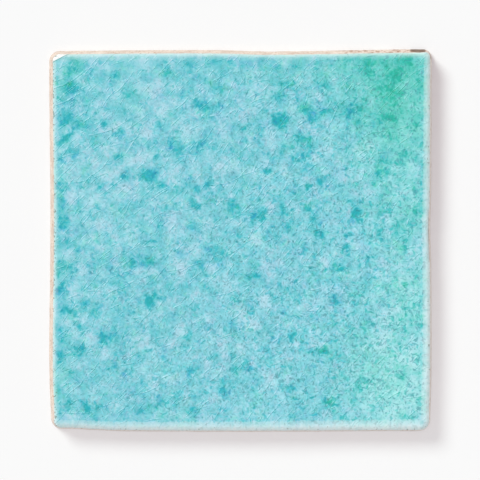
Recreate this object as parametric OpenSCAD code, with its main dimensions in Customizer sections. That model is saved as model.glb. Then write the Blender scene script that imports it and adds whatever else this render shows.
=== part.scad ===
// Hand-pressed wall tile: one fired piece of pale clay with a glaze coat over its face.
// The frame: the back lies on Z = 0 and the glazed face looks up.
// X runs left to right and Y bottom to top, as the tile is seen from above.
// All sizes are in millimetres.

/* [Tile] */
// Width over the widest part of the clay, left to right
tile_w = 130; // [80:1:200]
// Length over the widest part of the clay, bottom to top
tile_l = 130; // [80:1:200]
// Height from the flat back to the highest point of the face
thickness = 10; // [8:0.5:16]

/* [Corners] */
// Radius of the top right corner
corner_top_right = 2.2; // [2:0.1:6]
// Radius of the top left corner
corner_top_left = 3.8; // [2:0.1:6]
// Radius of the bottom left corner
corner_bottom_left = 3.2; // [2:0.1:6]
// Radius of the bottom right corner
corner_bottom_right = 3.2; // [2:0.1:6]
// Smallest radius that a corner keeps, up on the face
corner_keep = 1.5; // [0.5:0.1:2]

/* [Clay sides] */
// How far each side leans in between the back and the glaze
side_draft = 1.8; // [0.6:0.1:2.4]
// Rounding of the edge round the back
back_round = 0.6; // [0.2:0.1:1]
// How far the face lies to the right of the back
face_shift_x = 0.3; // [-0.5:0.05:0.5]
// How far the face lies towards the top
face_shift_y = -0.2; // [-0.5:0.05:0.5]

/* [Glaze coat] */
// How far the glaze runs down the sides, below the face
glaze_run = 2.6; // [2.2:0.1:4]
// How far the lower edge of the glaze stands proud of the clay
glaze_lip = 0.3; // [0.1:0.05:0.5]
// How much the lower edge of the glaze wanders up and down
glaze_wobble = 0.3; // [0:0.05:0.4]
// Width of the rolled edge, seen from above
roll_w = 1.2; // [0.8:0.1:2]
// Depth of the rolled edge, below the face
roll_d = 1.3; // [0.8:0.1:1.6]

/* [Face] */
// How much lower the rim of the face is than its middle
crown = 0.3; // [0:0.05:0.8]
// Depth of the broad hollows in the face
ripple = 0.25; // [0:0.05:0.5]
// Distance from hollow to hollow
ripple_pitch = 46; // [30:1:80]
// How far the top left corner of the face has slumped
slump = 0.9; // [0:0.1:1.2]
// How far the slump reaches from that corner
slump_reach = 5; // [3:0.5:10]

/* [Hidden] */

// Steps along a side, round a corner, up the rolled edge and across the face
side_steps = 24;
corner_steps = 6;
roll_steps = 5;
face_steps = 9;

// Heights at which the clay side is drawn, as shares of its height
side_shares = [0.2, 0.5, 0.8, 1];
// The lean grows faster towards the glaze, so the side has a slight belly
belly = 1.6;

// How each side wanders: waves along it, place of one crest from 0 to 1, and depth.
// The order is right, top, left, bottom.
wander = [[1.5, 0.25, 0.15], [1.6, 0.95, 0.55], [1.35, 0.19, 0.4], [1, 0.5, 0.25]];

// Dents pressed into the rim: side, place from 0 to 1, half length and depth
dents = [
    [0, 0.53, 6, 0.35], [0, 0.03, 12, 0.3], [1, 0.56, 9, 0.25], [1, 0.3, 16, 0.25],
    [2, 0.02, 8, 0.5], [3, 0.02, 12, 0.9]
];

corners = [corner_top_right, corner_top_left, corner_bottom_left, corner_bottom_right];
// The lip of the glaze rises by this as it stands out
lip_slope = 0.05;
// The hollows of the face lie askew: sideways shift along each direction
ripple_skew = [0.3, -0.2];
// The glaze's lower edge: waves round the rim, and how far the short ones are turned
wobble_waves = [9, 23];
wobble_turn = 40;

turquoise = "#7FCCD6";

// How far a side comes in at place t along it: never past the full size
function drift(side, t) =
    let (w = wander[side])
    w[2] / 2 * (cos(360 * w[0] * (t - w[1])) - 1)
    - sum([for (d = dents) d[0] == side ? d[3] * bump((t - d[1]) * side_length(side) / d[2]) : 0]);

function side_length(side) = side % 2 == 0 ? tile_l : tile_w;
function bump(x) = exp(-x * x);
function sum(v) = v * [for (i = v) 1];

// Moves a point of the perfect outline to where the maker's hands left it
function hand_made(p) =
    let (
        u = p[0] / (tile_w / 2),
        v = p[1] / (tile_l / 2),
        along_x = (u + 1) / 2,
        along_y = (v + 1) / 2
    )
    [
        p[0] + u * drift(u > 0 ? 0 : 2, along_y),
        p[1] + v * drift(v > 0 ? 1 : 3, along_x)
    ];

// The outline, brought in by inset: an arc at each corner, then the side after it
function outline(inset) = [
    for (c = [0:3])
        let (
            r = max(corners[c] - inset, corner_keep),
            half_x = tile_w / 2 - inset - r,
            half_y = tile_l / 2 - inset - r,
            next_r = max(corners[(c + 1) % 4] - inset, corner_keep),
            next_x = tile_w / 2 - inset - next_r,
            next_y = tile_l / 2 - inset - next_r,
            start = turned(c, half_x, half_y) + r * [cos(90 * c + 90), sin(90 * c + 90)],
            end = turned(c + 1, next_x, next_y) + next_r * [cos(90 * c + 90), sin(90 * c + 90)]
        )
        for (i = [0:corner_steps + side_steps - 1])
            i <= corner_steps
                ? turned(c, half_x, half_y)
                    + r * [cos(90 * (c + i / corner_steps)), sin(90 * (c + i / corner_steps))]
                : start + (end - start) * (i - corner_steps) / side_steps
];

// The centre of corner c, counted anticlockwise from the top right
function turned(c, x, y) = [[x, y], [-x, y], [-x, -y], [x, -y]][c % 4];

// Height of the glazed face at a point: a crown with broad hollows and one slumped corner
function face_z(p) =
    let (
        u = p[0] / (tile_w / 2),
        v = p[1] / (tile_l / 2),
        across = 360 * (p[0] + ripple_skew[0] * p[1]) / ripple_pitch,
        along = 360 * (p[1] + ripple_skew[1] * p[0]) / ripple_pitch,
        hollow = 1 - sin(across) * cos(along),
        from_corner = norm([p[0] + tile_w / 2, p[1] - tile_l / 2])
    )
    thickness
    - crown * (1 - (1 - u * u) * (1 - v * v))
    - ripple * hollow / 2
    - slump * bump(from_corner / slump_reach);

// Height of the glaze's lower edge at a point of the rim
function glaze_foot_z(p) =
    let (
        round_rim = atan2(p[1], p[0]),
        long_wave = sin(wobble_waves[0] * round_rim),
        short_wave = sin(wobble_waves[1] * round_rim + wobble_turn)
    )
    face_z(p) - glaze_run + glaze_wobble * (long_wave + short_wave) / 2;

// The side of the clay, from the back up to the glaze.
// Each entry is a ring's inset, its height in the rounded edge and its share of the side above.
clay_profile = concat(
    [for (a = [0:45:90]) [back_round * (1 - sin(a)), back_round * (1 - cos(a)), 0]],
    [for (s = side_shares) [side_draft * pow(s, belly), back_round, s]]
);
// The rolled edge of the glaze.
// Each entry is a ring's inset and its depth below the face.
roll_start = side_draft - glaze_lip;
roll_profile = [
    for (i = [0:roll_steps])
        let (a = 90 * i / roll_steps)
        [roll_start + roll_w * (1 - cos(a)), roll_d * (1 - sin(a))]
];

// A point's share of the face's sideways shift, by its height
function lean(p, z) = p + [face_shift_x, face_shift_y] * z / thickness;
function lifted(p, z) = let (q = lean(p, z)) [q[0], q[1], z];

function clay_ring(step) = [
    for (p = outline(step[0]))
        let (q = hand_made(p))
        lifted(q, step[1] + step[2] * (glaze_foot_z(q) - back_round))
];
function lip_ring() = [
    for (p = outline(roll_start))
        let (q = hand_made(p))
        lifted(q, glaze_foot_z(q) + lip_slope)
];
function roll_ring(step) = [
    for (p = outline(step[0]))
        let (q = hand_made(p))
        lifted(q, face_z(q) - step[1])
];
function face_ring(share) = [
    for (p = outline(roll_start + roll_w))
        let (q = hand_made(p) * share)
        lifted(q, face_z(q))
];

// Closes a stack of rings into one solid, with a flat floor and a point in the middle of the top
module skin(rings, middle) {
    n = len(rings[0]);
    last = len(rings) - 1;
    points = concat([for (ring = rings) each ring], [middle]);
    walls = [
        for (k = [0:last - 1], i = [0:n - 1])
            let (a = k * n + i, b = k * n + (i + 1) % n)
            each [[a, a + n, b + n], [a, b + n, b]]
    ];
    cap = [for (i = [0:n - 1]) [last * n + i, len(points) - 1, last * n + (i + 1) % n]];
    floor_face = [[for (i = [0:n - 1]) i]];
    polyhedron(points, concat(floor_face, walls, cap));
}

// The tile: clay sides, the lip of the glaze, its rolled edge and the face
module glazed_tile() {
    rings = concat(
        [for (step = clay_profile) clay_ring(step)],
        [lip_ring()],
        [for (step = roll_profile) roll_ring(step)],
        [for (i = [1:face_steps - 1]) face_ring(1 - i / face_steps)]
    );
    color(turquoise) skin(rings, lifted([0, 0], face_z([0, 0])));
}

glazed_tile();
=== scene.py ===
# %% [markdown]
# # A hand-pressed wall tile with a mottled turquoise glaze
#
# The real thing is one fired piece: a slab of pale clay whose face was dipped in glaze. We dress it
# with two meshes, because clay and glaze have different surfaces. The clay body is rough and matte.
# The glaze coat is a glassy skin that rolls over the rim and stops at a lip on the sides.
#
# We start from the solid model, which is the frame that everything has to fit.

# %% Load the frame
import math

import bmesh
import bpy
import numpy as np
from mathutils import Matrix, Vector, noise
from mathutils.bvhtree import BVHTree


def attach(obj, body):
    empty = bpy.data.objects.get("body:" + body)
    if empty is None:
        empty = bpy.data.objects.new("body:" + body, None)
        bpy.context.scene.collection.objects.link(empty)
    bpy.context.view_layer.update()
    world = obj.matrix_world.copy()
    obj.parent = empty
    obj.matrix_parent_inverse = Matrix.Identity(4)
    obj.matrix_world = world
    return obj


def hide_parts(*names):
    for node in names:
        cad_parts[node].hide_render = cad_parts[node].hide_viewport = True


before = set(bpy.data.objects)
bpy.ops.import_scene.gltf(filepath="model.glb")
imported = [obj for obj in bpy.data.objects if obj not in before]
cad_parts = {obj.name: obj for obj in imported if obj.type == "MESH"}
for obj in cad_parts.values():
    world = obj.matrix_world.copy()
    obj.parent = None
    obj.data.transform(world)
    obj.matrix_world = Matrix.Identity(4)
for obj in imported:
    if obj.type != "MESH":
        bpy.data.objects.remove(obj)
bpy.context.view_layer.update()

MM = 0.001

# %% [markdown]
# ## The camera
#
# The photograph looks straight down, and the sides hardly spread. A long lens from far away gives
# that. The width of the view at the floor sets how far away the camera goes.

# %% Camera above the tile
LENS = 300.0
SENSOR = 36.0
VIEW_WIDTH = 162.76 * MM

camera_data = bpy.data.cameras.new("overhead")
camera_data.lens = LENS
camera_data.sensor_width = SENSOR
camera = bpy.data.objects.new("overhead", camera_data)
camera.location = (-0.10 * MM, 0.16 * MM, VIEW_WIDTH * LENS / SENSOR)
camera_data.clip_end = 10.0
bpy.context.scene.collection.objects.link(camera)
bpy.context.scene.camera = camera
print("camera height in m:", round(camera.location.z, 3))

# %% [markdown]
# ## Light and floor
#
# One large soft lamp at the upper left throws the short shadow on the right and below. A sun lamp
# with a wide disc is such a lamp with no falloff. An even white world fills the shadows.
#
# The floor keeps the tile's shadow. For the camera it also glows a little, so that it comes out as
# an even pale ground.

# %% Key lamp and fill
KEY_SHARE = 0.48
KEY_HEIGHT = math.radians(45)
KEY_SIDE = Vector((-0.68, 0.73, 0.0)).normalized()
KEY_WIDTH = math.radians(25)

to_key = KEY_SIDE * math.cos(KEY_HEIGHT) + Vector((0, 0, math.sin(KEY_HEIGHT)))
key_data = bpy.data.lights.new("softbox", "SUN")
key_data.angle = KEY_WIDTH
key_data.energy = KEY_SHARE * math.pi / math.sin(KEY_HEIGHT)
key = bpy.data.objects.new("softbox", key_data)
key.rotation_euler = to_key.to_track_quat("Z", "Y").to_euler()
bpy.context.scene.collection.objects.link(key)

# %% World
GROUND_WHITE = 0.956


def shown_to(tree):
    """1 for rays that show the ground as it looks: the camera's own, mirrored ones and those through glass."""
    path = tree.nodes.new("ShaderNodeLightPath")
    shown = path.outputs["Is Camera Ray"]
    for name in ("Is Glossy Ray", "Is Transmission Ray"):
        either = tree.nodes.new("ShaderNodeMath")
        either.operation = "MAXIMUM"
        tree.links.new(shown, either.inputs[0])
        tree.links.new(path.outputs[name], either.inputs[1])
        shown = either.outputs[0]
    return shown



world = bpy.data.worlds.new("white_room")
world.use_nodes = True
room = world.node_tree
fill = room.nodes["Background"]
fill.inputs["Color"].default_value = (1, 1, 1, 1)
level = room.nodes.new("ShaderNodeMapRange")
level.inputs["To Min"].default_value = 1.0 - KEY_SHARE
level.inputs["To Max"].default_value = GROUND_WHITE
room.links.new(shown_to(room), level.inputs["Value"])
room.links.new(level.outputs["Result"], fill.inputs["Strength"])
bpy.context.scene.world = world

# %% Floor
FLOOR_SIZE = 1.5
SHADE_REACH = 65 * MM
SHADE_AT_TOP = 0.83
SHADE_AT_BOTTOM = 0.55
LIT_SIDES = 0.25
FLOOR_TINT = (0.95, 1.04, 1.0)

floor_form = bmesh.new()
bmesh.ops.create_grid(floor_form, x_segments=1, y_segments=1, size=FLOOR_SIZE)
floor_mesh = bpy.data.meshes.new("floor")
floor_form.to_mesh(floor_mesh)
floor_form.free()
floor = bpy.data.objects.new("floor", floor_mesh)
bpy.context.scene.collection.objects.link(floor)

floor_paint = bpy.data.materials.new("floor_paint")
floor_paint.use_nodes = True
tree = floor_paint.node_tree
tree.nodes.clear()
spot = tree.nodes.new("ShaderNodeSeparateXYZ")
tree.links.new(tree.nodes.new("ShaderNodeTexCoord").outputs["Object"], spot.inputs[0])
share = tree.nodes.new("ShaderNodeMapRange")
for name, value in (("From Min", -SHADE_REACH), ("From Max", SHADE_REACH),
                    ("To Min", SHADE_AT_BOTTOM), ("To Max", SHADE_AT_TOP)):
    share.inputs[name].default_value = value
tree.links.new(spot.outputs[1], share.inputs["Value"])
shares = [share]
for axis, unlit, lit_from in ((0, -62 * MM, -67 * MM), (1, 63 * MM, 68 * MM)):
    side = tree.nodes.new("ShaderNodeMapRange")
    side.interpolation_type = "SMOOTHSTEP"
    for name, value in (("From Min", unlit), ("From Max", lit_from), ("To Min", 1.0), ("To Max", LIT_SIDES)):
        side.inputs[name].default_value = value
    tree.links.new(spot.outputs[axis], side.inputs["Value"])
    shares.append(side)
lit = tree.nodes.new("ShaderNodeVectorMath")
lit.operation = "MULTIPLY"
lit.inputs[1].default_value = FLOOR_TINT
whole = shares[0].outputs["Result"]
for side in shares[1:]:
    both = tree.nodes.new("ShaderNodeMath")
    both.operation = "MULTIPLY"
    tree.links.new(whole, both.inputs[0])
    tree.links.new(side.outputs["Result"], both.inputs[1])
    whole = both.outputs[0]
tree.links.new(whole, lit.inputs[0])
rest = tree.nodes.new("ShaderNodeVectorMath")
rest.operation = "SUBTRACT"
rest.inputs[0].default_value = (GROUND_WHITE,) * 3
tree.links.new(lit.outputs[0], rest.inputs[1])
paper = tree.nodes.new("ShaderNodeBsdfDiffuse")
tree.links.new(lit.outputs[0], paper.inputs["Color"])
glow = tree.nodes.new("ShaderNodeEmission")
tree.links.new(rest.outputs[0], glow.inputs["Color"])
both = tree.nodes.new("ShaderNodeAddShader")
bounce = tree.nodes.new("ShaderNodeBsdfDiffuse")
bounce.inputs["Color"].default_value = (0.9, 0.9, 0.9, 1)
choice = tree.nodes.new("ShaderNodeMixShader")
end = tree.nodes.new("ShaderNodeOutputMaterial")
tree.links.new(paper.outputs[0], both.inputs[0])
tree.links.new(glow.outputs[0], both.inputs[1])
tree.links.new(shown_to(tree), choice.inputs[0])
tree.links.new(bounce.outputs[0], choice.inputs[1])
tree.links.new(both.outputs[0], choice.inputs[2])
tree.links.new(choice.outputs[0], end.inputs["Surface"])
floor_mesh.materials.append(floor_paint)

# %% [markdown]
# ## Reading the solid model
#
# The tile's sides wander, because it was pressed by hand. The solid model holds that outline, so we
# feel for it: a ray is shot at the tile from each side, and we note how far short of the full
# size it stops. A ray from above finds the height of the face.

# %% Feel for the outline
HALF = 65.0
FEEL_HEIGHT = 0.8
FEEL_CLEAR = 6.0
FEEL_STEP = 1.0
FEEL_BLUR = 3

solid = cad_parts["glazed_tile"]
touch = BVHTree.FromPolygons(
    [corner.co for corner in solid.data.vertices],
    [face.vertices for face in solid.data.polygons],
)
SIDES = {"right": Vector((1, 0)), "top": Vector((0, 1)), "left": Vector((-1, 0)), "bottom": Vector((0, -1))}


def felt_drift(side, along):
    """How far in from the full size a side lies, in mm, at a place along it."""
    out = SIDES[side]
    start = out * 2 * HALF + Vector((abs(out.y), abs(out.x))) * along
    hit = touch.ray_cast(Vector((start.x, start.y, FEEL_HEIGHT)) * MM, Vector((-out.x, -out.y, 0)))[0]
    return abs(hit.x * out.x + hit.y * out.y) / MM - HALF


def feel_side(side):
    """The drift of a side, felt at even steps and evened out."""
    steps = int(2 * HALF / FEEL_STEP)
    limit = HALF - FEEL_CLEAR
    felt = [felt_drift(side, max(-limit, min(limit, i * FEEL_STEP - HALF))) for i in range(steps + 1)]
    even = []
    for i in range(len(felt)):
        window = felt[max(0, i - FEEL_BLUR):i + FEEL_BLUR + 1]
        even.append(sum(window) / len(window))
    return even


drifts = {side: feel_side(side) for side in SIDES}
for side, drift in drifts.items():
    print(f"{side}: comes in by {-max(drift):.2f} to {-min(drift):.2f} mm")

# %% [markdown]
# Both meshes use the same plan. A place on it is given by u and v, which run from -1 to 1 across the
# tile, and by an inset from the outline. Near a corner the square grid is bent into a quarter circle.

# %% The plan of the tile
CORNER_RADII = {(1, 1): 3.0, (-1, 1): 3.8, (-1, -1): 3.9, (1, -1): 4.4}
CORNER_KEEP = 1.5
LEAN = Vector((0.03, -0.02))


def drift_at(side, along):
    """The evened drift of a side at any place along it."""
    place = max(0.0, min(len(drifts[side]) - 1.001, (along + HALF) / FEEL_STEP))
    step = int(place)
    share = place - step
    return drifts[side][step] * (1 - share) + drifts[side][step + 1] * share


def bend_corner(x, y, half):
    """Moves a place in a corner's square into its quarter circle."""
    sign_x, sign_y = (1 if x > 0 else -1), (1 if y > 0 else -1)
    radius = max(CORNER_RADII[sign_x, sign_y] - (HALF - half), CORNER_KEEP)
    straight = half - radius
    across, up = (abs(x) - straight) / radius, (abs(y) - straight) / radius
    if across > 0 and up > 0:
        bent_x = across * math.sqrt(1 - up * up / 2)
        bent_y = up * math.sqrt(1 - across * across / 2)
        x, y = sign_x * (straight + bent_x * radius), sign_y * (straight + bent_y * radius)
    return x, y


def plan(u, v, inset, height):
    """The place in mm of (u, v) on the outline's plan, brought in by an inset, at a height."""
    half = HALF - inset
    x, y = bend_corner(u * half, v * half, half)
    moved_x = x + x / HALF * drift_at("right" if x > 0 else "left", y)
    moved_y = y + y / HALF * drift_at("top" if y > 0 else "bottom", x)
    return moved_x + LEAN.x * height, moved_y + LEAN.y * height


# %% Small helpers for relief
def ripple(x, y, size, seed=0.0):
    """Smooth noise from -1 to 1 whose bumps are about one size apart, in mm."""
    return noise.noise(Vector((x / size, y / size, seed)), noise_basis="PERLIN_NEW")


def ease(value, low, high):
    """0 below low, 1 above high and an even rise between them."""
    share = max(0.0, min(1.0, (value - low) / (high - low)))
    return share * share * (3 - 2 * share)


def new_piece(name, form, material):
    """Makes an object of a bmesh, smooth all over, that stands for the solid tile."""
    bmesh.ops.recalc_face_normals(form, faces=form.faces)
    for face in form.faces:
        face.smooth = True
    mesh = bpy.data.meshes.new(name)
    form.to_mesh(mesh)
    form.free()
    mesh.materials.append(material)
    piece = bpy.data.objects.new(name, mesh)
    bpy.context.scene.collection.objects.link(piece)
    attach(piece, "root")
    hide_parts("glazed_tile")
    triangles = sum(len(face.vertices) - 2 for face in mesh.polygons)
    print(f"{name}: {triangles} triangles")
    return piece


# %% [markdown]
# ## Where the glaze ran thick and thin
#
# The glaze is the same everywhere, and its depth makes the colour: deep blue-green where it pooled,
# milky where it ran thin. The eye finds the same few pools first in any light, so these are listed
# one by one. Each line is a place in mm, a radius and a strength. Strength is how much darker
# the pool is, and below zero it is a pale cloud. The small mottling between them comes later,
# from noise in the material.

# %% Broad drifts of the glaze
BROAD = [
    (50, 56, 20, 0.09), (56, 38, 18, 0.05), (30, 58, 22, 0.05), (5, 56, 18, 0.03), (-60, 55, 14, 0.02),
    (55, -22, 22, -0.035), (54, -52, 22, -0.08), (-36, 20, 24, -0.015), (-57, -55, 14, 0.04),
]
GREEN = [
    (54, 58, 24, 0.75), (54, 36, 20, 0.6), (57, 10, 16, 0.5), (58, -18, 16, 0.55), (52, -48, 23, 0.8),
    (30, 62, 16, 0.3), (-62, 52, 5, 0.4), (-56, 59, 4, 0.35), (-60, 22, 4, 0.4), (-62, -8, 5, 0.35),
    (-36, 50, 7, 0.2), (-60, -46, 6, 0.35), (-20, -60, 9, 0.25), (10, 57, 8, 0.2), (41, 31, 5, 0.3),
]

# %% Pools listed one by one
UPPER_LEFT_POOLS = [
    (-57.3, 60.6, 3.0, 0.16), (-57.6, 57.2, 2.4, 0.14), (-55.9, 51.1, 3.0, 0.28), (-58.0, 51.8, 2.0, 0.15),
    (-51.2, 53.8, 1.4, 0.20), (-38.3, 50.1, 2.4, 0.18), (-44.4, 55.9, 3.0, 0.12), (-60.0, 46.3, 2.4, 0.14),
    (-58.0, 41.6, 2.6, 0.17), (-59.3, 38.9, 2.6, 0.24), (-53.5, 38.2, 2.2, 0.24), (-59.0, 34.4, 3.0, 0.26),
    (-60.7, 32.8, 2.0, 0.22), (-55.3, 30.7, 1.8, 0.18), (-45.7, 39.2, 1.1, 0.30), (-41.7, 35.8, 2.0, 0.30),
    (-39.6, 36.9, 1.2, 0.20), (-35.5, 38.9, 2.0, 0.12), (-27.4, 38.6, 2.2, 0.18), (-22.6, 33.4, 2.0, 0.12),
    (-14.1, 45.4, 2.4, 0.26), (-11.1, 44.0, 2.4, 0.22), (-7.7, 45.0, 1.8, 0.15), (-20.6, 31.4, 1.8, 0.18),
    (-13.1, 32.8, 3.0, 0.20), (-8.3, 31.4, 2.2, 0.12), (-60.4, 27.3, 2.0, 0.24), (-40.3, 27.7, 1.6, 0.20),
    (-28.7, 28.0, 2.2, 0.10), (-39.3, 21.6, 1.6, 0.30), (-32.1, 22.2, 2.8, 0.28), (-29.4, 20.5, 2.0, 0.20),
    (-27.0, 18.1, 1.6, 0.20), (-47.4, 18.8, 1.8, 0.20), (-43.0, 18.5, 1.2, 0.15), (-61.4, 18.1, 2.6, 0.22),
    (-14.5, 17.8, 1.4, 0.20), (-11.1, 19.2, 2.2, 0.20), (-6.3, 17.1, 1.8, 0.16), (-14.8, 11.3, 1.5, 0.28),
    (-61.7, 11.7, 2.0, 0.12), (-47.8, 11.3, 2.0, 0.14), (-38.3, 8.3, 2.2, 0.12), (-59.7, 6.2, 2.4, 0.24),
    (-46.4, 2.8, 2.4, 0.20), (-15.8, 4.9, 2.4, 0.14), (-8.3, 59.3, 3.4, 0.12), (-17.2, 52.5, 2.4, 0.12),
    (-15.8, 58.6, 2.4, 0.10), (-24.0, 55.9, 3.0, 0.10),
]
UPPER_RIGHT_POOLS = [
    (13.4, 39.9, 2.6, 0.46), (11.7, 39.5, 1.5, 0.24), (15.1, 40.6, 1.3, 0.20), (24.3, 42.9, 2.4, 0.20),
    (28.1, 42.9, 1.8, 0.28), (20.9, 42.9, 2.0, 0.15), (24.0, 40.6, 1.6, 0.20), (22.3, 33.4, 3.0, 0.18),
    (19.6, 34.8, 2.0, 0.13), (14.1, 52.5, 1.8, 0.20), (13.4, 48.4, 2.6, 0.14), (17.5, 51.8, 2.0, 0.10),
    (37.2, 41.6, 3.2, 0.22), (39.3, 43.6, 2.0, 0.15), (35.2, 60.3, 1.8, 0.18), (44.0, 58.6, 4.0, 0.15),
    (47.4, 51.8, 3.5, 0.14), (52.9, 55.2, 3.0, 0.17), (56.3, 60.6, 4.0, 0.12), (52.2, 49.7, 2.4, 0.20),
    (46.7, 47.0, 2.0, 0.12), (50.8, 41.6, 2.2, 0.20), (52.2, 34.8, 2.4, 0.15), (53.5, 28.0, 3.5, 0.12),
    (48.1, 23.2, 3.5, 0.12), (1.2, 37.2, 3.0, 0.18), (9.3, 23.2, 1.3, 0.26), (5.6, 18.5, 1.6, 0.13),
    (13.4, 20.5, 2.0, 0.12), (21.6, 28.7, 1.3, 0.22), (18.2, 27.3, 2.5, 0.12), (27.4, 20.2, 1.6, 0.28),
    (25.7, 22.5, 2.0, 0.12), (23.3, 17.8, 0.9, 0.32), (19.6, 17.8, 1.4, 0.18), (35.9, 14.4, 2.4, 0.14),
    (45.4, 19.1, 1.8, 0.14), (-2.3, 11.7, 3.2, 0.18), (6.0, 8.9, 3.0, 0.23), (8.3, 8.3, 1.6, 0.15),
    (14.5, 10.3, 2.2, 0.26), (22.3, 10.6, 1.6, 0.28), (23.6, 7.6, 1.6, 0.20), (38.9, 9.3, 1.9, 0.34),
    (40.6, 6.9, 1.4, 0.25), (14.8, 4.5, 2.0, 0.12), (46.7, 3.2, 2.4, 0.20), (52.9, 3.5, 2.0, 0.12),
    (59.7, 41.6, 1.6, 0.15), (59.7, 10.3, 2.2, 0.16), (2.2, 53.8, 2.6, 0.12), (0.5, 61.3, 2.4, 0.10),
    (10.0, 57.9, 3.0, 0.10), (27.0, 60.0, 3.0, 0.10),
]
LOWER_LEFT_POOLS = [
    (-58.7, -0.5, 2.0, 0.12), (-39.6, -4.6, 1.1, 0.26), (-36.5, -7.3, 1.8, 0.20), (-36.5, -11.8, 1.2, 0.22),
    (-43.7, -9.4, 1.2, 0.15), (-57.3, -8.0, 2.6, 0.18), (-61.4, -11.1, 1.6, 0.22), (-56.9, -10.4, 1.2, 0.15),
    (-61.0, -16.9, 2.4, 0.30), (-49.8, -23.0, 3.4, 0.17), (-58.7, -24.0, 2.6, 0.26), (-55.9, -24.7, 1.6, 0.20),
    (-29.8, -19.6, 2.6, 0.25), (-25.3, -19.2, 1.2, 0.10), (-36.2, -24.3, 1.6, 0.12), (-30.4, -28.1, 1.6, 0.18),
    (-61.4, -29.8, 2.2, 0.18), (-53.9, -29.4, 1.8, 0.24), (-46.4, -32.5, 2.4, 0.18), (-45.0, -34.2, 1.1, 0.26),
    (-54.6, -36.9, 2.6, 0.28), (-53.5, -37.9, 1.4, 0.20), (-60.7, -40.0, 2.6, 0.10), (-34.5, -38.6, 2.2, 0.16),
    (-43.7, -43.4, 2.2, 0.20), (-37.6, -44.0, 2.4, 0.12), (-26.0, -48.5, 1.3, 0.18), (-15.8, -43.4, 2.4, 0.12),
    (-8.3, -40.0, 1.6, 0.12), (-5.6, -47.5, 3.0, 0.14), (-9.0, -3.9, 4.0, 0.15), (-14.4, -8.0, 2.4, 0.15),
    (-12.4, -11.4, 1.6, 0.15), (-20.6, -4.6, 2.0, 0.12), (-30.8, -6.7, 2.6, 0.10), (-29.8, -0.5, 1.0, 0.22),
    (-51.2, -57.3, 1.8, 0.34), (-53.2, -55.6, 2.0, 0.18), (-58.0, -55.6, 3.0, 0.14), (-33.5, -57.0, 2.8, 0.17),
    (-41.0, -57.7, 2.4, 0.12), (-25.3, -55.0, 2.2, 0.16), (-26.4, -58.3, 1.4, 0.14), (-21.2, -52.2, 2.4, 0.10),
    (-15.5, -58.0, 2.6, 0.16), (-4.2, -50.9, 3.0, 0.10),
]
LOWER_RIGHT_POOLS = [
    (27.4, 1.5, 2.5, 0.34), (36.2, 1.8, 1.3, 0.30), (35.2, -2.9, 1.2, 0.34), (28.1, -3.9, 2.2, 0.16),
    (32.1, -8.7, 2.2, 0.28), (29.1, -10.4, 1.0, 0.26), (4.6, -12.1, 2.2, 0.20), (1.2, -16.2, 1.2, 0.12),
    (2.9, -24.3, 1.0, 0.22), (18.9, -19.6, 3.0, 0.14), (14.8, -16.9, 2.6, 0.12), (10.0, -16.9, 2.0, 0.10),
    (31.1, -20.3, 2.2, 0.20), (29.8, -12.8, 1.4, 0.14), (26.4, -13.5, 1.4, 0.14), (38.6, -21.3, 1.0, 0.34),
    (17.5, -32.2, 1.9, 0.22), (28.4, -37.3, 2.0, 0.28), (25.7, -37.3, 1.6, 0.12), (40.0, -35.2, 1.2, 0.22),
    (37.2, -29.8, 1.1, 0.22), (33.2, -38.3, 1.0, 0.20), (8.7, -37.3, 1.8, 0.14), (15.5, -41.7, 1.2, 0.12),
    (17.9, -49.5, 1.8, 0.24), (23.6, -50.2, 2.4, 0.12), (29.1, -54.3, 2.0, 0.26), (30.1, -54.9, 0.9, 0.25),
    (48.1, -39.6, 1.3, 0.22), (55.6, -2.9, 1.6, 0.20), (54.2, -58.7, 1.4, 0.16), (58.3, -60.2, 1.2, 0.20),
    (60.4, -53.2, 1.2, 0.14), (44.7, -57.3, 1.3, 0.20), (54.9, -46.4, 1.6, 0.14), (40.0, -48.1, 2.6, 0.10),
    (34.5, -45.4, 2.0, 0.10), (-0.2, 1.5, 3.0, 0.12), (-2.2, -6.7, 2.6, 0.12), (-1.5, -43.4, 2.6, 0.12),
    (2.6, -42.7, 1.8, 0.12), (59.0, -31.8, 1.6, 0.12), (59.0, -26.4, 2.0, 0.10),
]
POOLS = UPPER_LEFT_POOLS + UPPER_RIGHT_POOLS + LOWER_LEFT_POOLS + LOWER_RIGHT_POOLS
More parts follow.
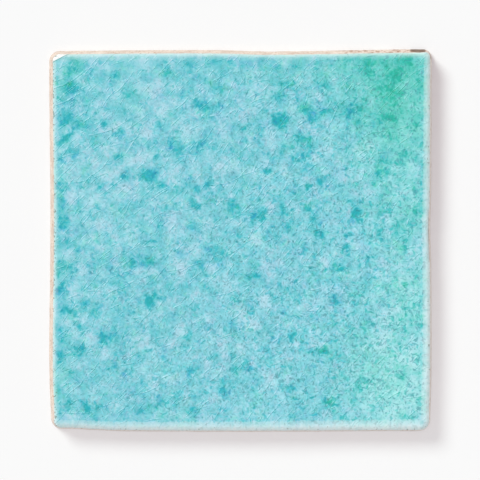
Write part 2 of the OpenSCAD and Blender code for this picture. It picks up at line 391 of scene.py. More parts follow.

# %% Milky veils listed one by one
VEILS = [
    (-29.4, 51.1, 3.2, 0.15), (-26.7, 45.0, 4.0, 0.15), (-32.1, 36.8, 2.6, 0.18), (-37.6, 53.5, 1.6, 0.18),
    (-35.5, 17.1, 3.4, 0.15), (-45.4, 17.8, 1.2, 0.18), (-57.6, 37.5, 1.4, 0.25), (-41.0, 38.2, 1.2, 0.20),
    (-6.3, 37.5, 2.6, 0.14), (-14.4, 35.5, 2.0, 0.12), (-48.4, 25.9, 2.6, 0.14), (-45.7, 22.5, 2.0, 0.14),
    (-20.6, 23.9, 4.0, 0.12), (-13.1, 14.4, 1.6, 0.18), (-32.1, 27.3, 3.0, 0.12), (-47.8, 4.9, 3.0, 0.10),
    (-24.0, 4.9, 3.4, 0.10), (-5.6, 24.6, 3.0, 0.10), (-58.0, 22.5, 2.0, 0.14), (-0.2, 41.6, 3.6, 0.16),
    (3.2, 43.0, 3.0, 0.12), (21.6, 36.5, 1.5, 0.24), (29.7, 39.5, 2.4, 0.17), (18.9, 41.2, 1.8, 0.15),
    (10.0, 33.4, 3.0, 0.12), (29.7, 8.3, 2.6, 0.14), (10.7, 11.0, 1.4, 0.20), (18.9, 10.3, 1.6, 0.16),
    (22.3, 20.5, 1.4, 0.18), (0.5, 0.8, 2.4, 0.14), (-2.2, 52.5, 1.8, 0.14), (0.5, 49.7, 1.8, 0.14),
    (40.0, 15.7, 3.0, 0.10), (35.2, 21.2, 2.0, 0.12), (-18.5, -10.0, 3.4, 0.17), (-17.8, -2.6, 2.4, 0.14),
    (-26.7, -12.8, 2.2, 0.15), (-54.6, -42.7, 2.8, 0.16), (-52.5, -52.2, 2.0, 0.15), (-45.0, -37.3, 2.0, 0.16),
    (-58.7, -27.0, 1.8, 0.24), (-52.5, -27.7, 1.2, 0.20), (-51.2, -31.8, 1.6, 0.18), (-34.2, -33.9, 2.4, 0.15),
    (-21.2, -31.1, 2.8, 0.14), (-26.7, -25.0, 2.0, 0.12), (-34.9, -17.5, 1.6, 0.14), (-32.1, -41.3, 1.6, 0.14),
    (-36.9, -52.9, 1.8, 0.14), (-6.3, -37.3, 2.6, 0.12), (-42.3, -16.9, 2.0, 0.12), (4.6, 0.1, 2.6, 0.18),
    (9.3, -11.1, 2.8, 0.14), (29.1, -8.4, 1.2, 0.20), (32.5, -5.3, 1.4, 0.18), (3.9, -28.4, 2.8, 0.15),
    (-1.5, -34.5, 2.0, 0.15), (8.0, -21.6, 2.0, 0.13), (0.5, -23.7, 2.0, 0.14), (9.3, -47.5, 3.0, 0.13),
    (29.1, -58.3, 1.4, 0.26), (5.3, -40.0, 2.0, 0.12), (16.8, -46.8, 2.4, 0.12), (53.5, -8.0, 2.6, 0.12),
    (56.3, -40.0, 3.0, 0.12), (57.0, -48.8, 3.0, 0.12),
]
POOL_FRAY = 1.5
POOL_FRAY_SIZE = 3.0
POOL_EDGE = 1.5
print(len(POOLS), "pools and", len(VEILS), "veils by hand")


def frayed(x, y):
    """A place pushed about by noise, so that round spots get ragged outlines."""
    wide = POOL_FRAY * ripple(x, y, POOL_FRAY_SIZE, 1.7), POOL_FRAY * ripple(x, y, POOL_FRAY_SIZE, 8.3)
    fine = ripple(x, y, POOL_FRAY_SIZE / 3, 3.1), ripple(x, y, POOL_FRAY_SIZE / 3, 5.9)
    return x + wide[0] + fine[0], y + wide[1] + fine[1]


def spots_at(places, spots):
    """The strength of a list of soft round spots at many places."""
    total = np.zeros(len(places))
    for spot_x, spot_y, radius, strength in spots:
        away = (places[:, 0] - spot_x) ** 2 + (places[:, 1] - spot_y) ** 2
        total += strength * np.exp(-POOL_EDGE * away / radius ** 2)
    return total


# %% [markdown]
# ## The glaze coat
#
# The coat is a dense grid, bent to the plan and lowered onto the solid's face. Its open edge is then
# extruded ring by ring: over the rolled rim, down the side, round the lip and back up inside the
# clay, where a flat face closes it. The grid is fine enough to carry real hollows, so the glaze
# catches light unevenly from any side, not only from above.
#
# Every vertex remembers its u and v in a layer of its own. An extruded vertex inherits them, so each
# new ring can be placed by the same plan.

# %% Sizes of the coat
FACE_STEPS = 262
ROLL_START = 1.5
ROLL_WIDTH = 1.2
ROLL_DEPTH = 1.3
ROLL_STEPS = 8
GLAZE_RUN = 2.6
LIP_ROUND = 0.12
COAT_INSIDE = 2.3
COAT_UNDER = 8.0
FACE_INSET = ROLL_START + ROLL_WIDTH

# %% Relief of the face
SMOOTHING = 14
HOLLOW_SIZES = [(13.0, 0.10, 4.2), (5.5, 0.07, 9.4), (2.6, 0.10, 2.6), (1.4, 0.08, 7.7)]
POOL_HOLLOW = 0.35
CHIP_LINE = (Vector((-63.1, 60.15)), Vector((-57.9, 62.95)))
CHIP_SLOPE = math.tan(math.radians(17))


def relief(x, y, pooling):
    """How far the glaze lies below its highest level, in mm."""
    total = 0.0
    for size, depth, seed in HOLLOW_SIZES:
        total += depth * (1 - ripple(x, y, size, seed)) / 2
    return total + POOL_HOLLOW * max(0.0, pooling)


def beyond_chip(x, y):
    """How far a place lies beyond the line of the knock at the top left corner, in mm."""
    start, stop = CHIP_LINE
    along = (stop - start).normalized()
    return -(Vector((x, y)) - start).cross(along) + 0.25 * ripple(x, y, 1.5, 4.4)


def chip_cut(x, y, height, face_height):
    """The height left after that knock."""
    return min(height, face_height - CHIP_SLOPE * max(0.0, beyond_chip(x, y)))


def face_height(x, y):
    """The height of the solid's face in mm, felt from above."""
    hit = touch.ray_cast(Vector((x, y, 2 * HALF)) * MM, Vector((0, 0, -1)))[0]
    return hit.z / MM


# %% The face of the coat
coat = bmesh.new()
bmesh.ops.create_grid(coat, x_segments=FACE_STEPS, y_segments=FACE_STEPS, size=1.0)
layer_u = coat.verts.layers.float.new("u")
layer_v = coat.verts.layers.float.new("v")
layer_rim = coat.verts.layers.float.new("rim_height")
layer_inset = coat.verts.layers.float.new("inset")
for vert in coat.verts:
    vert[layer_u], vert[layer_v] = vert.co.x, vert.co.y
    x, y = plan(vert.co.x, vert.co.y, FACE_INSET, 10)
    vert.co = (x, y, face_height(x, y))
inner = [vert for vert in coat.verts if not vert.is_boundary]
for _ in range(SMOOTHING):
    bmesh.ops.smooth_vert(coat, verts=inner, factor=0.5, use_axis_z=True)
for vert in coat.verts:
    vert[layer_rim], vert[layer_inset] = vert.co.z, FACE_INSET
print("face of the coat:", len(coat.faces), "faces")

# %% [markdown]
# The rolled rim is a quarter of an ellipse. The lip below it wanders a little, up and down as well as
# in and out, as runny glaze does where it stops.

# %% The rim and the lip of the coat
def ring_of(form, edges):
    """Extrudes a ring of edges and returns the new vertices and the new ring of edges."""
    made = bmesh.ops.extrude_edge_only(form, edges=edges)["geom"]
    verts = [part for part in made if isinstance(part, bmesh.types.BMVert)]
    chosen = set(verts)
    ring = [part for part in made if isinstance(part, bmesh.types.BMEdge) and set(part.verts) <= chosen]
    return verts, ring


def lip_drop(x, y):
    """How much lower than planned the lip lies at a place on the rim, in mm."""
    return 0.25 * ripple(x, y, 9.0, 3.3) + 0.1 * ripple(x, y, 2.2, 6.1)


def lip_creep(x, y):
    """How much further in than planned the lip lies at a place on the rim, in mm."""
    return 0.16 * ripple(x, y, 4.5, 1.1) + 0.12 * ripple(x, y, 1.4, 9.2)


OVERHANG = {"bottom": 0.45, "right": 0.25}
RECESS = (1.8, 8.5)


def overhang(vert):
    """How far the lip sags out past the plan, below and at the right, in mm."""
    below = OVERHANG["bottom"] * ease(-vert[layer_v], 0.95, 1.0)
    beside = OVERHANG["right"] * ease(vert[layer_u], 0.95, 1.0)
    middle, half_length = RECESS
    knocked = 0.4 * ease(half_length - abs(vert[layer_v] * HALF - middle), -1.0, 1.0)
    return max(below, beside - knocked * ease(vert[layer_u], 0.95, 1.0))


edge = [side for side in coat.edges if side.is_boundary]
profile = []
for step in range(1, ROLL_STEPS + 1):
    angle = math.radians(90) * (1 - step / ROLL_STEPS)
    profile.append((ROLL_START + ROLL_WIDTH * (1 - math.cos(angle)), ROLL_DEPTH * (1 - math.sin(angle)), 0.0))
profile += [(ROLL_START, ROLL_DEPTH, 0.4), (ROLL_START, ROLL_DEPTH, 0.8)]
profile += [
    (ROLL_START, GLAZE_RUN - LIP_ROUND, 1.0),
    (ROLL_START + LIP_ROUND * 0.3, GLAZE_RUN - LIP_ROUND * 0.3, 1.0),
    (ROLL_START + LIP_ROUND, GLAZE_RUN, 1.0),
    (COAT_INSIDE, GLAZE_RUN - LIP_ROUND, 1.0),
]
for number, (inset, depth, run) in enumerate(profile):
    verts, edge = ring_of(coat, edge)
    for vert in verts:
        x, y = plan(vert[layer_u], vert[layer_v], inset, 10 - depth)
        ragged = ease(number, ROLL_STEPS - 4, ROLL_STEPS + 2)
        sagged = overhang(vert) * ease(number, -1, ROLL_STEPS) * (number < len(profile) - 1)
        x, y = plan(vert[layer_u], vert[layer_v], inset + ragged * lip_creep(x, y) - sagged, 10 - depth)
        level = depth if run in (0.0, 1.0) else ROLL_DEPTH + run * (GLAZE_RUN - LIP_ROUND - ROLL_DEPTH)
        vert.co = (x, y, vert[layer_rim] - level - run * lip_drop(x, y))
        vert[layer_inset] = inset
verts, edge = ring_of(coat, edge)
for vert in verts:
    vert.co.z = COAT_UNDER
bmesh.ops.contextual_create(coat, geom=edge)
print("rings down the rim:", len(profile) + 1)

# %% Press the relief into the coat
places = np.array([vert.co[:2] for vert in coat.verts])
pushed = np.array([frayed(x, y) for x, y in places])
pooling = spots_at(pushed, POOLS) - spots_at(pushed, VEILS)
for vert, here in zip(coat.verts, pooling):
    if vert.co.z <= COAT_UNDER:
        continue
    x, y, height = vert.co
    top = vert[layer_rim]
    lowered = height - relief(x, y, here) * ease(height, top - ROLL_DEPTH, top - 0.3)
    vert.co.z = chip_cut(x, y, lowered, top)

# %% [markdown]
# ### How far the glaze has drained off the rim
#
# Glaze drains off an edge while it melts, so the rim is pale. The pale margin is narrow at the left,
# and wider towards the bottom, where the tile leaned in the kiln. For each vertex we store "drain": 0 at
# the lip, 1 where the margin ends and more beyond. A number that rises evenly can be cut off sharply
# by the material, finer than the mesh. "drift", "pooling" and "green" carry the places listed above.

# %% Store the numbers that the material reads
MARGINS = {"right": (2.6, 1.95), "top": (2.6, 1.8), "left": (1.65, 1.65), "bottom": (2.2, 3.2)}
MARGIN_LIMIT = 4.0


def drain(vert):
    """The distance from the lip as a share of the margin's width, which changes along each side."""
    reach = HALF - ROLL_START
    half = HALF - vert[layer_inset]
    across, up = vert[layer_u] * half, vert[layer_v] * half
    gaps = {"right": reach - across, "left": reach + across, "top": reach - up, "bottom": reach + up}
    shares = []
    for side, (first, last) in MARGINS.items():
        along = vert[layer_v] if side in ("right", "left") else vert[layer_u]
        shares.append(gaps[side] / (first + (last - first) * (along + 1) / 2))
    return min(MARGIN_LIMIT, *shares)


layer_chip = coat.verts.layers.float.new("chip")
layer_drift = coat.verts.layers.float.new("drift")
layer_pooling = coat.verts.layers.float.new("pooling")
layer_green = coat.verts.layers.float.new("green")
layer_drain = coat.verts.layers.float.new("drain")
layer_lip = coat.verts.layers.float.new("lip")
drift = spots_at(places, BROAD)
green = np.minimum(1.0, spots_at(pushed, GREEN))
for number, vert in enumerate(coat.verts):
    vert[layer_drift], vert[layer_pooling], vert[layer_green] = drift[number], pooling[number], green[number]
    vert[layer_drain] = drain(vert)
    vert[layer_chip] = max(-1.0, min(1.0, beyond_chip(*vert.co[:2])))
    vert[layer_lip] = ease(vert[layer_rim] - vert.co.z, ROLL_DEPTH * 0.9, GLAZE_RUN)
for vert in coat.verts:
    vert.co *= MM

# %% [markdown]
# ## The glaze material
#
# The material adds what is too fine for the mesh. We work with one number, the tone: it says how much
# red the glaze lets through. Three colour ramps turn it into a colour: aqua, a greener mint and a
# violet blue, and a second number picks between them. Each layer of the glaze adds to the tone:
#
# - clouds: soft noise, from 9 mm down to half a millimetre
# - pools and veils: noise cut off sharply, so that they get ragged shores; the stored "pooling" lifts
#   the noise where a pool was placed
# - pepper: dark grains of oxide, which lie thickest at the lower right
# - crackle: fine slanting ridges, each painted as a dark line of shade with a pale line of painted light on its upper
#   left side

# %% A short way to write node trees
class Recipe:
    """A material's node tree, with short words for the steps used below."""

    def __init__(self, name):
        self.material = bpy.data.materials.new(name)
        self.material.use_nodes = True
        self.tree = self.material.node_tree
        self.shader = self.tree.nodes["Principled BSDF"]
        self.place = self.node("TexCoord").outputs["Object"]

    def node(self, kind, wires=None, **settings):
        """Adds a node, sets its options and fills its inputs."""
        made = self.tree.nodes.new("ShaderNode" + kind)
        for name, value in settings.items():
            setattr(made, name, value)
        for key, value in (wires or {}).items():
            self.fill(made.inputs[key], value)
        return made

    def fill(self, socket, value):
        """Links a socket, or sets its value."""
        if isinstance(value, bpy.types.NodeSocket):
            self.tree.links.new(value, socket)
        else:
            socket.default_value = value

    def math(self, operation, first, second=0.0, clamp=False):
        return self.node("Math", {0: first, 1: second}, operation=operation, use_clamp=clamp).outputs[0]

    def plus(self, *parts):
        total = parts[0]
        for part in parts[1:]:
            total = self.math("ADD", total, part)
        return total

    def times(self, *parts):
        total = parts[0]
        for part in parts[1:]:
            total = self.math("MULTIPLY", total, part)
        return total

    def spread(self, value, low, high, to_low=0.0, to_high=1.0):
        """Maps low..high to to_low..to_high with soft ends."""
        wires = {"Value": value, "From Min": low, "From Max": high, "To Min": to_low, "To Max": to_high}
        return self.node("MapRange", wires, interpolation_type="SMOOTHSTEP").outputs["Result"]

    def stored(self, name):
        """A number stored on the mesh."""
        return self.node("Attribute", attribute_name=name).outputs["Fac"]

    def noise(self, size, detail=0.0, rough=0.5, place=None, shift=0.0):
        """Noise about 0 whose bumps are size mm apart."""
        wires = {"Vector": place or self.place, "Scale": 1 / (size * MM), "Detail": detail,
                 "Roughness": rough, "W": shift}
        value = self.node("TexNoise", wires, noise_dimensions="4D").outputs[0]
        return self.math("SUBTRACT", value, 0.5)

    def swirled(self, size, reach):
        """The place pushed about by noise, so that a pattern on it loses its regular look."""
        wires = {"Vector": self.place, "Scale": 1 / (size * MM), "Detail": 1.0}
        push = self.node("TexNoise", wires, noise_dimensions="3D").outputs["Color"]
        far = (2 * reach * MM,) * 3
        return self.node("VectorMath", {0: push, 1: far, 2: self.place}, operation="MULTIPLY_ADD").outputs[0]

    def turned(self, angle, stretch, place=None):
        """The place turned about Z and stretched, for patterns that run one way."""
        wires = {"Vector": place or self.place, "Rotation": (0, 0, angle), "Scale": (stretch, 1, 1)}
        return self.node("Mapping", wires, vector_type="TEXTURE").outputs[0]

    def mix(self, share, first, second, blend="MIX"):
        wires = {0: share, 6: first, 7: second}
        return self.node("Mix", wires, data_type="RGBA", blend_type=blend).outputs[2]

    def ramp(self, value, stops):
        """A colour ramp through (place, colour) stops."""
        made = self.node("ValToRGB", {0: value})
        ramp = made.color_ramp
        while len(ramp.elements) < len(stops):
            ramp.elements.new(0.5)
        for element, (place, colour) in zip(ramp.elements, stops):
            element.position, element.color = place, colour
        return made.outputs[0]


def paint(red, green, blue):
    """A colour in the 0 to 255 numbers of a paint chart, made linear."""
    linear = []
    for level in (red, green, blue):
        share = level / 255
        linear.append(share / 12.92 if share <= 0.04045 else ((share + 0.055) / 1.055) ** 2.4)
    return (*linear, 1.0)


# %% Clouds, grain and brush marks
glaze = Recipe("turquoise_glaze")
GLAZE_TONE = 0.530
clouds = glaze.noise(7.5, detail=3, rough=0.7)
mottle = glaze.noise(4.2, detail=2, rough=0.6, shift=2.0)
swirled = glaze.swirled(2.6, 1.3)
grain = glaze.noise(1.1, detail=2, rough=0.7, place=swirled, shift=4.0)
hatch = glaze.noise(0.5, detail=1, place=glaze.turned(math.radians(54), 2.2, swirled), shift=9.0)
cross_hatch = glaze.noise(0.5, detail=1, place=glaze.turned(math.radians(-35), 2.0, swirled), shift=10.0)
wires = {"Vector": swirled, "Scale": 1 / (1.3 * MM)}
cells = glaze.math("SUBTRACT", glaze.node("TexVoronoi", wires, feature="F1").outputs["Distance"], 0.5)

# %% Dark flecks
side_to_side = glaze.node("SeparateXYZ", {0: glaze.place})
lower_right = glaze.plus(
    glaze.times(side_to_side.outputs[0], 1 / (HALF * MM)), glaze.times(side_to_side.outputs[1], -0.5 / (HALF * MM))
)
smoother_edge = glaze.math(
    "MINIMUM", glaze.spread(side_to_side.outputs[0], 40 * MM, 60 * MM, 1.0, 0.5),
    glaze.spread(glaze.stored("drain"), 0.8, 3.6, 0.45, 1.0),
)
grainy = glaze.times(glaze.spread(lower_right, -1.3, 0.2, 0.6, 1.0), smoother_edge)
fleck_place = glaze.turned(math.radians(65), 1.5, swirled)
fleck_noise = glaze.noise(0.9, detail=1, rough=0.6, place=fleck_place, shift=44.0)
flecks = glaze.times(glaze.spread(fleck_noise, 0.085, 0.15), grainy)

# %% Pools and veils
pooling_here = glaze.stored("pooling")
pool_noise = glaze.plus(
    glaze.noise(3.2, detail=5, rough=0.75, place=swirled, shift=12.0), glaze.times(pooling_here, 0.7)
)
pools = glaze.spread(pool_noise, 0.02, 0.11)
deep_pools = glaze.spread(pool_noise, 0.1, 0.19)
pool_hearts = glaze.spread(pool_noise, 0.19, 0.31)
veil_noise = glaze.plus(glaze.noise(3.6, detail=4, rough=0.7, shift=17.0), glaze.times(pooling_here, -0.6))
veils = glaze.spread(veil_noise, 0.02, 0.11)

# %% Pepper
crowding = glaze.spread(lower_right, -0.5, 0.9, -0.075, 0.01)
calm = glaze.spread(lower_right, -0.8, 1.3, 1.12, 0.65)
pepper_noise = glaze.plus(
    glaze.noise(0.95, detail=1, rough=0.5, place=swirled, shift=21.0), crowding
)
pepper = glaze.spread(pepper_noise, 0.095, 0.15)
drop_noise = glaze.plus(
    glaze.noise(1.7, detail=1, rough=0.5, place=swirled, shift=25.0), crowding
)
drops = glaze.spread(drop_noise, 0.11, 0.17)

# %% Crackle
# Each crackle line is drawn as a ridge lit from the upper left: a dark line of painted shade and, beside it at the
# upper left, a pale line of painted light. Both also go into the bump.
CRACKLE_WIDTH = 0.17
CRACKLE_LIT_SIDE_OFFSET = 0.3
CRACKLE_BEND = 7.0


def crackle(recipe, angle, pitch, length, seed):
    """Slanting broken ridges: returns the dark line of painted shade and the pale line of painted light beside it."""
    turned = recipe.node("SeparateXYZ", {0: recipe.turned(angle, 1.0)})
    along, across = recipe.times(turned.outputs[0], 1 / (length * MM)), recipe.times(turned.outputs[1], 1 / (pitch * MM))
    bent = recipe.plus(across, recipe.times(recipe.noise(16, 1, shift=seed), CRACKLE_BEND / pitch))
    row = recipe.math("FLOOR", bent)
    luck = recipe.node("TexWhiteNoise", {"W": recipe.plus(row, seed)}, noise_dimensions="1D").outputs["Value"]
    from_line = recipe.times(
        recipe.plus(recipe.math("FRACT", bent), -0.5, recipe.times(recipe.plus(luck, -0.5), 0.5)), pitch
    )
    strip = recipe.node("CombineXYZ", {0: recipe.plus(along, recipe.times(luck, 40)), 1: recipe.times(row, 3.7)})
    pieces = recipe.node("TexNoise", {"Vector": strip.outputs[0], "Scale": 1.0, "Detail": 1.0}).outputs[0]
    drawn = recipe.spread(recipe.plus(pieces, recipe.times(lower_right, -0.022)), 0.535, 0.625)
    dark = recipe.spread(recipe.math("ABSOLUTE", from_line), CRACKLE_WIDTH, CRACKLE_WIDTH * 0.3)
    lit_side_distance = recipe.math("ABSOLUTE", recipe.plus(from_line, -CRACKLE_LIT_SIDE_OFFSET))
    pale = recipe.spread(lit_side_distance, CRACKLE_WIDTH, CRACKLE_WIDTH * 0.3)
    return recipe.times(dark, drawn), recipe.times(pale, drawn)


line_sets = [
    crackle(glaze, math.radians(46), 2.6, 4.6, 0.0),
    crackle(glaze, math.radians(58), 3.1, 3.4, 20.0),
    crackle(glaze, math.radians(36), 4.2, 5.0, 40.0),
    crackle(glaze, math.radians(16), 9.0, 6.0, 60.0),
]
crackle_shade_side, crackle_lit_side = line_sets[0]
for dark, pale in line_sets[1:]:
    crackle_shade_side = glaze.math("MAXIMUM", crackle_shade_side, dark)
    crackle_lit_side = glaze.math("MAXIMUM", crackle_lit_side, pale)

# %% From tone to colour
tone = glaze.plus(
    GLAZE_TONE,
    glaze.times(clouds, calm, 0.51),
    glaze.times(mottle, calm, 0.47),
    glaze.times(grain, 0.15),
    glaze.times(flecks, -0.08),
    glaze.times(cells, -0.08),
    glaze.times(glaze.stored("drift"), -1.1),
    glaze.times(pooling_here, -0.36),
    glaze.times(pools, -0.14),
    glaze.times(deep_pools, -0.17),
    glaze.times(pool_hearts, -0.41),
    glaze.times(veils, 0.06),
    glaze.times(drops, -0.19),
    # The crackle's dark and pale lines here are painted shade and painted light.
    glaze.times(crackle_shade_side, -0.17),
    glaze.times(crackle_lit_side, 0.07),
)
AQUA = [
    (0.10, paint(14, 171, 182)), (0.21, paint(46, 181, 191)), (0.33, paint(78, 190, 200)),
    (0.45, paint(108, 199, 210)), (0.55, paint(134, 207, 219)), (0.68, paint(166, 217, 230)),
]
MINT = [
    (0.10, paint(14, 176, 152)), (0.21, paint(46, 187, 168)), (0.33, paint(78, 197, 183)),
    (0.45, paint(108, 206, 197)), (0.55, paint(134, 216, 212)), (0.68, paint(166, 228, 227)),
]
VIOLET = [
    (0.10, paint(20, 142, 188)), (0.21, paint(50, 158, 198)), (0.33, paint(82, 175, 206)),
    (0.45, paint(113, 191, 214)), (0.55, paint(141, 202, 221)), (0.68, paint(173, 213, 229)),
]
hue = glaze.plus(
    glaze.times(glaze.noise(3.8, detail=3, rough=0.7, shift=30.0), 1.7),
    glaze.times(glaze.noise(1.5, detail=2, place=swirled, shift=33.0), 0.9),
)
greener = glaze.math("ADD", glaze.stored("green"), glaze.spread(hue, 0.0, 0.55, 0.0, 0.9), clamp=True)
bluer = glaze.times(
    glaze.math("ADD", glaze.spread(hue, 0.0, -0.5), glaze.times(veils, 0.5), clamp=True),
    glaze.math("SUBTRACT", 1.0, glaze.stored("green"), clamp=True),
)
colour = glaze.mix(greener, glaze.ramp(tone, AQUA), glaze.ramp(tone, MINT))
colour = glaze.mix(bluer, colour, glaze.ramp(tone, VIOLET))
PEPPER = paint(52, 144, 156)
colour = glaze.mix(glaze.times(pepper, 0.55), colour, PEPPER)
fine_mottle = glaze.noise(2.0, detail=2, rough=0.6, place=swirled, shift=41.0)
# The fine marks below also make the colour lighter and darker: painted light and shade of relief too fine for the
# mesh, heavier on the dark side. Dark flecks and the crackle lines darken it as well.
fine = glaze.plus(
    glaze.times(hatch, 0.62), glaze.times(cross_hatch, 0.58), glaze.times(grain, 0.30), glaze.times(fine_mottle, 0.26)
)
shaded = glaze.math("MINIMUM", glaze.times(fine, 0.70), glaze.times(fine, 1.2))
painted_shading_and_flecks = glaze.plus(
    1.021, glaze.times(shaded, grainy), glaze.times(flecks, -0.13),
    glaze.times(crackle_shade_side, -0.07), glaze.times(crackle_lit_side, 0.08), glaze.spread(lower_right, -0.5, 1.2, 0.0, 0.05)
)
colour = glaze.node("HueSaturation", {"Value": painted_shading_and_flecks, "Color": colour}).outputs[0]

# %% [markdown]
# ### The rim of the glaze
#
# At the rim we lay thinner colours over that. The margin is streaked square to the edge, the lip is
# almost white, and where the glaze meets the clay it is pitted by gas that boiled out of the clay.
# On the sides away from the lamp the margin and lip are painted lighter, as painted light against
# their shade. The pits are painted dark with their shade, and the knock at the top left corner gets a
# painted highlight with a line of painted shade under it.

# %% The drained margin, the lip and its pits
# The margin and the lip are paler on the sides away from the lamp than on the lit sides: painted light that makes up
# for the shade they lie in.
away_from_light = glaze.spread(glaze.math("SUBTRACT", *side_to_side.outputs[:2]), -12 * MM, 12 * MM)
PALE_RIM_AND_PAINTED_LIGHT = glaze.mix(away_from_light, paint(220, 234, 227), paint(246, 251, 250))
LIP_WHITE_AND_PAINTED_LIGHT = glaze.mix(away_from_light, paint(222, 220, 204), paint(252, 252, 249))
PIT_SHADE = paint(96, 112, 98)
across_edge = glaze.node("Mapping", {"Vector": glaze.place, "Scale": (0.12, 1, 1)}).outputs[0]
down_edge = glaze.node("Mapping", {"Vector": glaze.place, "Scale": (1, 0.12, 1)}).outputs[0]
below_diagonal = glaze.math("LESS_THAN", glaze.plus(*side_to_side.outputs[:2]), 0.0)
streaks = glaze.node("Mix", {0: below_diagonal, 2: glaze.noise(0.9, 1, place=across_edge), 3: glaze.noise(0.9, 1, place=down_edge)}).outputs[0]
drained = glaze.plus(glaze.stored("drain"), glaze.times(streaks, 0.5), glaze.times(clouds, 0.35))
steep = glaze.math("POWER", glaze.math("SUBTRACT", 1.0, drained, clamp=True), 1.6)
step = glaze.spread(drained, 1.1, 0.92)
step_height = glaze.spread(away_from_light, 0.0, 1.0, 0.04, 0.22)
steep_height = glaze.spread(away_from_light, 0.0, 1.0, 0.70, 0.58)
margin = glaze.plus(glaze.times(steep, steep_height), glaze.times(step, step_height))
colour = glaze.mix(margin, colour, PALE_RIM_AND_PAINTED_LIGHT)
colour = glaze.mix(glaze.stored("lip"), colour, LIP_WHITE_AND_PAINTED_LIGHT)
# The knocked facet at the top left corner is painted near white, a painted highlight of the lamp, with a thin line of
# painted shade just below its edge.
chip_highlight = glaze.spread(glaze.stored("chip"), 0.0, 0.12)
chip_shadow = glaze.times(glaze.spread(glaze.stored("chip"), -0.5, -0.1), glaze.math("SUBTRACT", 1.0, chip_highlight))
colour = glaze.mix(glaze.times(chip_shadow, 0.5), colour, paint(30, 130, 130))
colour = glaze.mix(chip_highlight, colour, paint(240, 246, 243))
# The pits are painted dark grey-green: painted shade inside the tiny holes, most of them along the left side.
left_side = glaze.spread(side_to_side.outputs[0], -60 * MM, -62 * MM, -0.10, 0.01)
pit_noise = glaze.plus(glaze.noise(0.8, detail=1, shift=50.0), glaze.times(glaze.stored("drain"), -0.25), left_side)
pits = glaze.spread(pit_noise, 0.04, 0.08)
colour = glaze.mix(glaze.times(pits, 0.7), colour, PIT_SHADE)

# %% Finish the glaze
glaze.fill(glaze.shader.inputs["Base Color"], colour)
glaze.fill(glaze.shader.inputs["Roughness"], glaze.spread(clouds, -0.15, 0.15, 0.26, 0.36))
relief_here = glaze.plus(
    glaze.times(glaze.plus(glaze.times(hatch, 0.10), glaze.times(cross_hatch, 0.09)), smoother_edge),
    glaze.times(grain, 0.10), glaze.times(cells, -0.06),
    glaze.times(crackle_lit_side, 0.03), glaze.times(pepper, -0.02), glaze.times(crackle_shade_side, -0.04)
)
bump = glaze.node("Bump", {"Height": relief_here, "Strength": 1.0, "Distance": 1.0 * MM})
glaze.fill(glaze.shader.inputs["Normal"], bump.outputs[0])
coat_piece = new_piece("glaze_coat", coat, glaze.material)

# %% [markdown]
# ## The clay body
#
# The bare clay shows as a narrow peach band all round, and on the back. Its grid is the back of the
# tile, and its sides are extruded up from there, leaning in, until they end hidden in the glaze.

# %% Sizes of the clay
BACK_STEPS = 240
SIDE_RINGS = 20
SIDE_DRAFT = 1.8
BACK_ROUND = 0.6
BELLY = 1.6
CLAY_ROUGH = [(6.0, 0.16, 1.3), (2.2, 0.10, 5.2), (1.1, 0.05, 8.8)]


def clay_relief(x, y, height):
    """How far the rough clay lies in from its full size, in mm."""
    total = 0.0
    for size, depth, seed in CLAY_ROUGH:
        total += depth * (1 - noise.noise(Vector((x / size, y / size, height / size + seed)))) / 2
    return total


# %% The clay's back and sides
clay = bmesh.new()
bmesh.ops.create_grid(clay, x_segments=BACK_STEPS, y_segments=BACK_STEPS, size=1.0)
clay_u = clay.verts.layers.float.new("u")
clay_v = clay.verts.layers.float.new("v")
for vert in clay.verts:
    vert[clay_u], vert[clay_v] = vert.co.x, vert.co.y
    x, y = plan(vert.co.x, vert.co.y, BACK_ROUND, 0)
    on_floor = 0.0 if vert.is_boundary else 0.25 * clay_relief(x, y, 0)
    vert.co = (x, y, on_floor)
edge = [side for side in clay.edges if side.is_boundary]
clay_top = 10 - GLAZE_RUN + 0.3
for step in range(1, SIDE_RINGS + 1):
    share = step / SIDE_RINGS
    height = clay_top * share ** 1.2
    rounding = max(0.0, 1 - height / BACK_ROUND)
    inset = BACK_ROUND * (1 - math.sqrt(1 - rounding * rounding)) + SIDE_DRAFT * share ** (BELLY * 1.2)
    verts, edge = ring_of(clay, edge)
    for vert in verts:
        x, y = plan(vert[clay_u], vert[clay_v], inset, height)
        x, y = plan(vert[clay_u], vert[clay_v], inset + clay_relief(x, y, height), height)
        vert.co = (x, y, height)
verts, edge = ring_of(clay, edge)
for vert in verts:
    x, y = plan(vert[clay_u], vert[clay_v], SIDE_DRAFT + 0.2, COAT_UNDER)
    vert.co = (x, y, COAT_UNDER)
bmesh.ops.contextual_create(clay, geom=edge)
for vert in clay.verts:
    vert.co *= MM

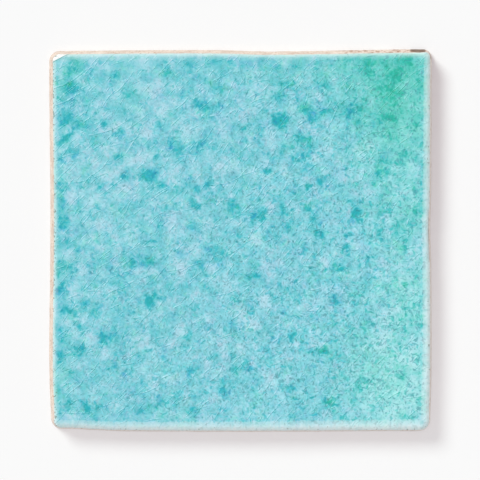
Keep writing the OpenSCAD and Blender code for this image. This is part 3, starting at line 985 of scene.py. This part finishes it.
# %% The clay material
biscuit = Recipe("peach_biscuit")
sand = biscuit.noise(0.7, detail=2, rough=0.6)
blush = biscuit.noise(5, detail=4, rough=0.7, shift=2.0)
here = biscuit.node("SeparateXYZ", {0: biscuit.place})
x_here, y_here, z_here = here.outputs
# Towards the lower right, on the sides away from the lamp, the clay is painted paler: painted light that lifts their
# shade.
painted_light_on_shaded_sides = biscuit.spread(biscuit.math("SUBTRACT", x_here, y_here), -12 * MM, 12 * MM)
clay_colour = biscuit.mix(biscuit.spread(blush, -0.12, 0.12), paint(233, 218, 204), paint(215, 197, 183))
clay_colour = biscuit.mix(biscuit.times(painted_light_on_shaded_sides, 0.85), clay_colour, paint(252, 242, 237))
clay_colour = biscuit.mix(biscuit.spread(sand, 0.03, 0.2), clay_colour, paint(190, 156, 130))

# %% Scorched clay under the lip and at the top right, and painted shade in a recess at the right
RUST = paint(196, 150, 112)
SCORCH = paint(104, 78, 58)
SHADE = paint(120, 116, 114)
under_lip = biscuit.times(
    biscuit.spread(z_here, 5.6 * MM, 6.6 * MM), biscuit.spread(biscuit.noise(3.2, 2, shift=60.0), -0.02, 0.06)
)
clay_colour = biscuit.mix(biscuit.times(under_lip, 0.6), clay_colour, RUST)
at_top = biscuit.spread(y_here, 61 * MM, 62 * MM)
dashes = biscuit.times(
    at_top, biscuit.spread(x_here, 30 * MM, 40 * MM), biscuit.spread(biscuit.noise(1.6, 2, shift=64.0), 0.02, 0.08)
)
clay_colour = biscuit.mix(biscuit.times(dashes, 0.75), clay_colour, paint(158, 112, 84))
scorched = biscuit.times(
    at_top, biscuit.spread(x_here, 57 * MM, 58 * MM), biscuit.spread(x_here, 63 * MM, 62.2 * MM),
    biscuit.spread(biscuit.plus(z_here, biscuit.times(blush, 9 * MM)), 6 * MM, 4.8 * MM),
)
clay_colour = biscuit.mix(biscuit.times(scorched, 0.9), clay_colour, SCORCH)
# Where the lip is knocked back at the right, the clay under it is painted dark grey: painted shade in the recess.
recess = biscuit.times(
    biscuit.spread(x_here, 60 * MM, 61 * MM), biscuit.spread(z_here, 4.5 * MM, 6 * MM),
    biscuit.spread(y_here, -7.5 * MM, -6 * MM), biscuit.spread(y_here, 11 * MM, 9.5 * MM),
)
clay_colour = biscuit.mix(biscuit.times(recess, 0.8), clay_colour, SHADE)

# %% Finish the clay
biscuit.fill(biscuit.shader.inputs["Base Color"], clay_colour)
biscuit.fill(biscuit.shader.inputs["Roughness"], 0.85)
grit = biscuit.node("Bump", {"Height": sand, "Strength": 0.6, "Distance": 0.12 * MM})
biscuit.fill(biscuit.shader.inputs["Normal"], grit.outputs[0])
clay_piece = new_piece("clay_body", clay, biscuit.material)

# %% [markdown]
# ## Finish
#
# The dressed tile has to stay inside the solid's box. The view shows colours as they are written.

bpy.context.scene.view_settings.view_transform = "Standard"
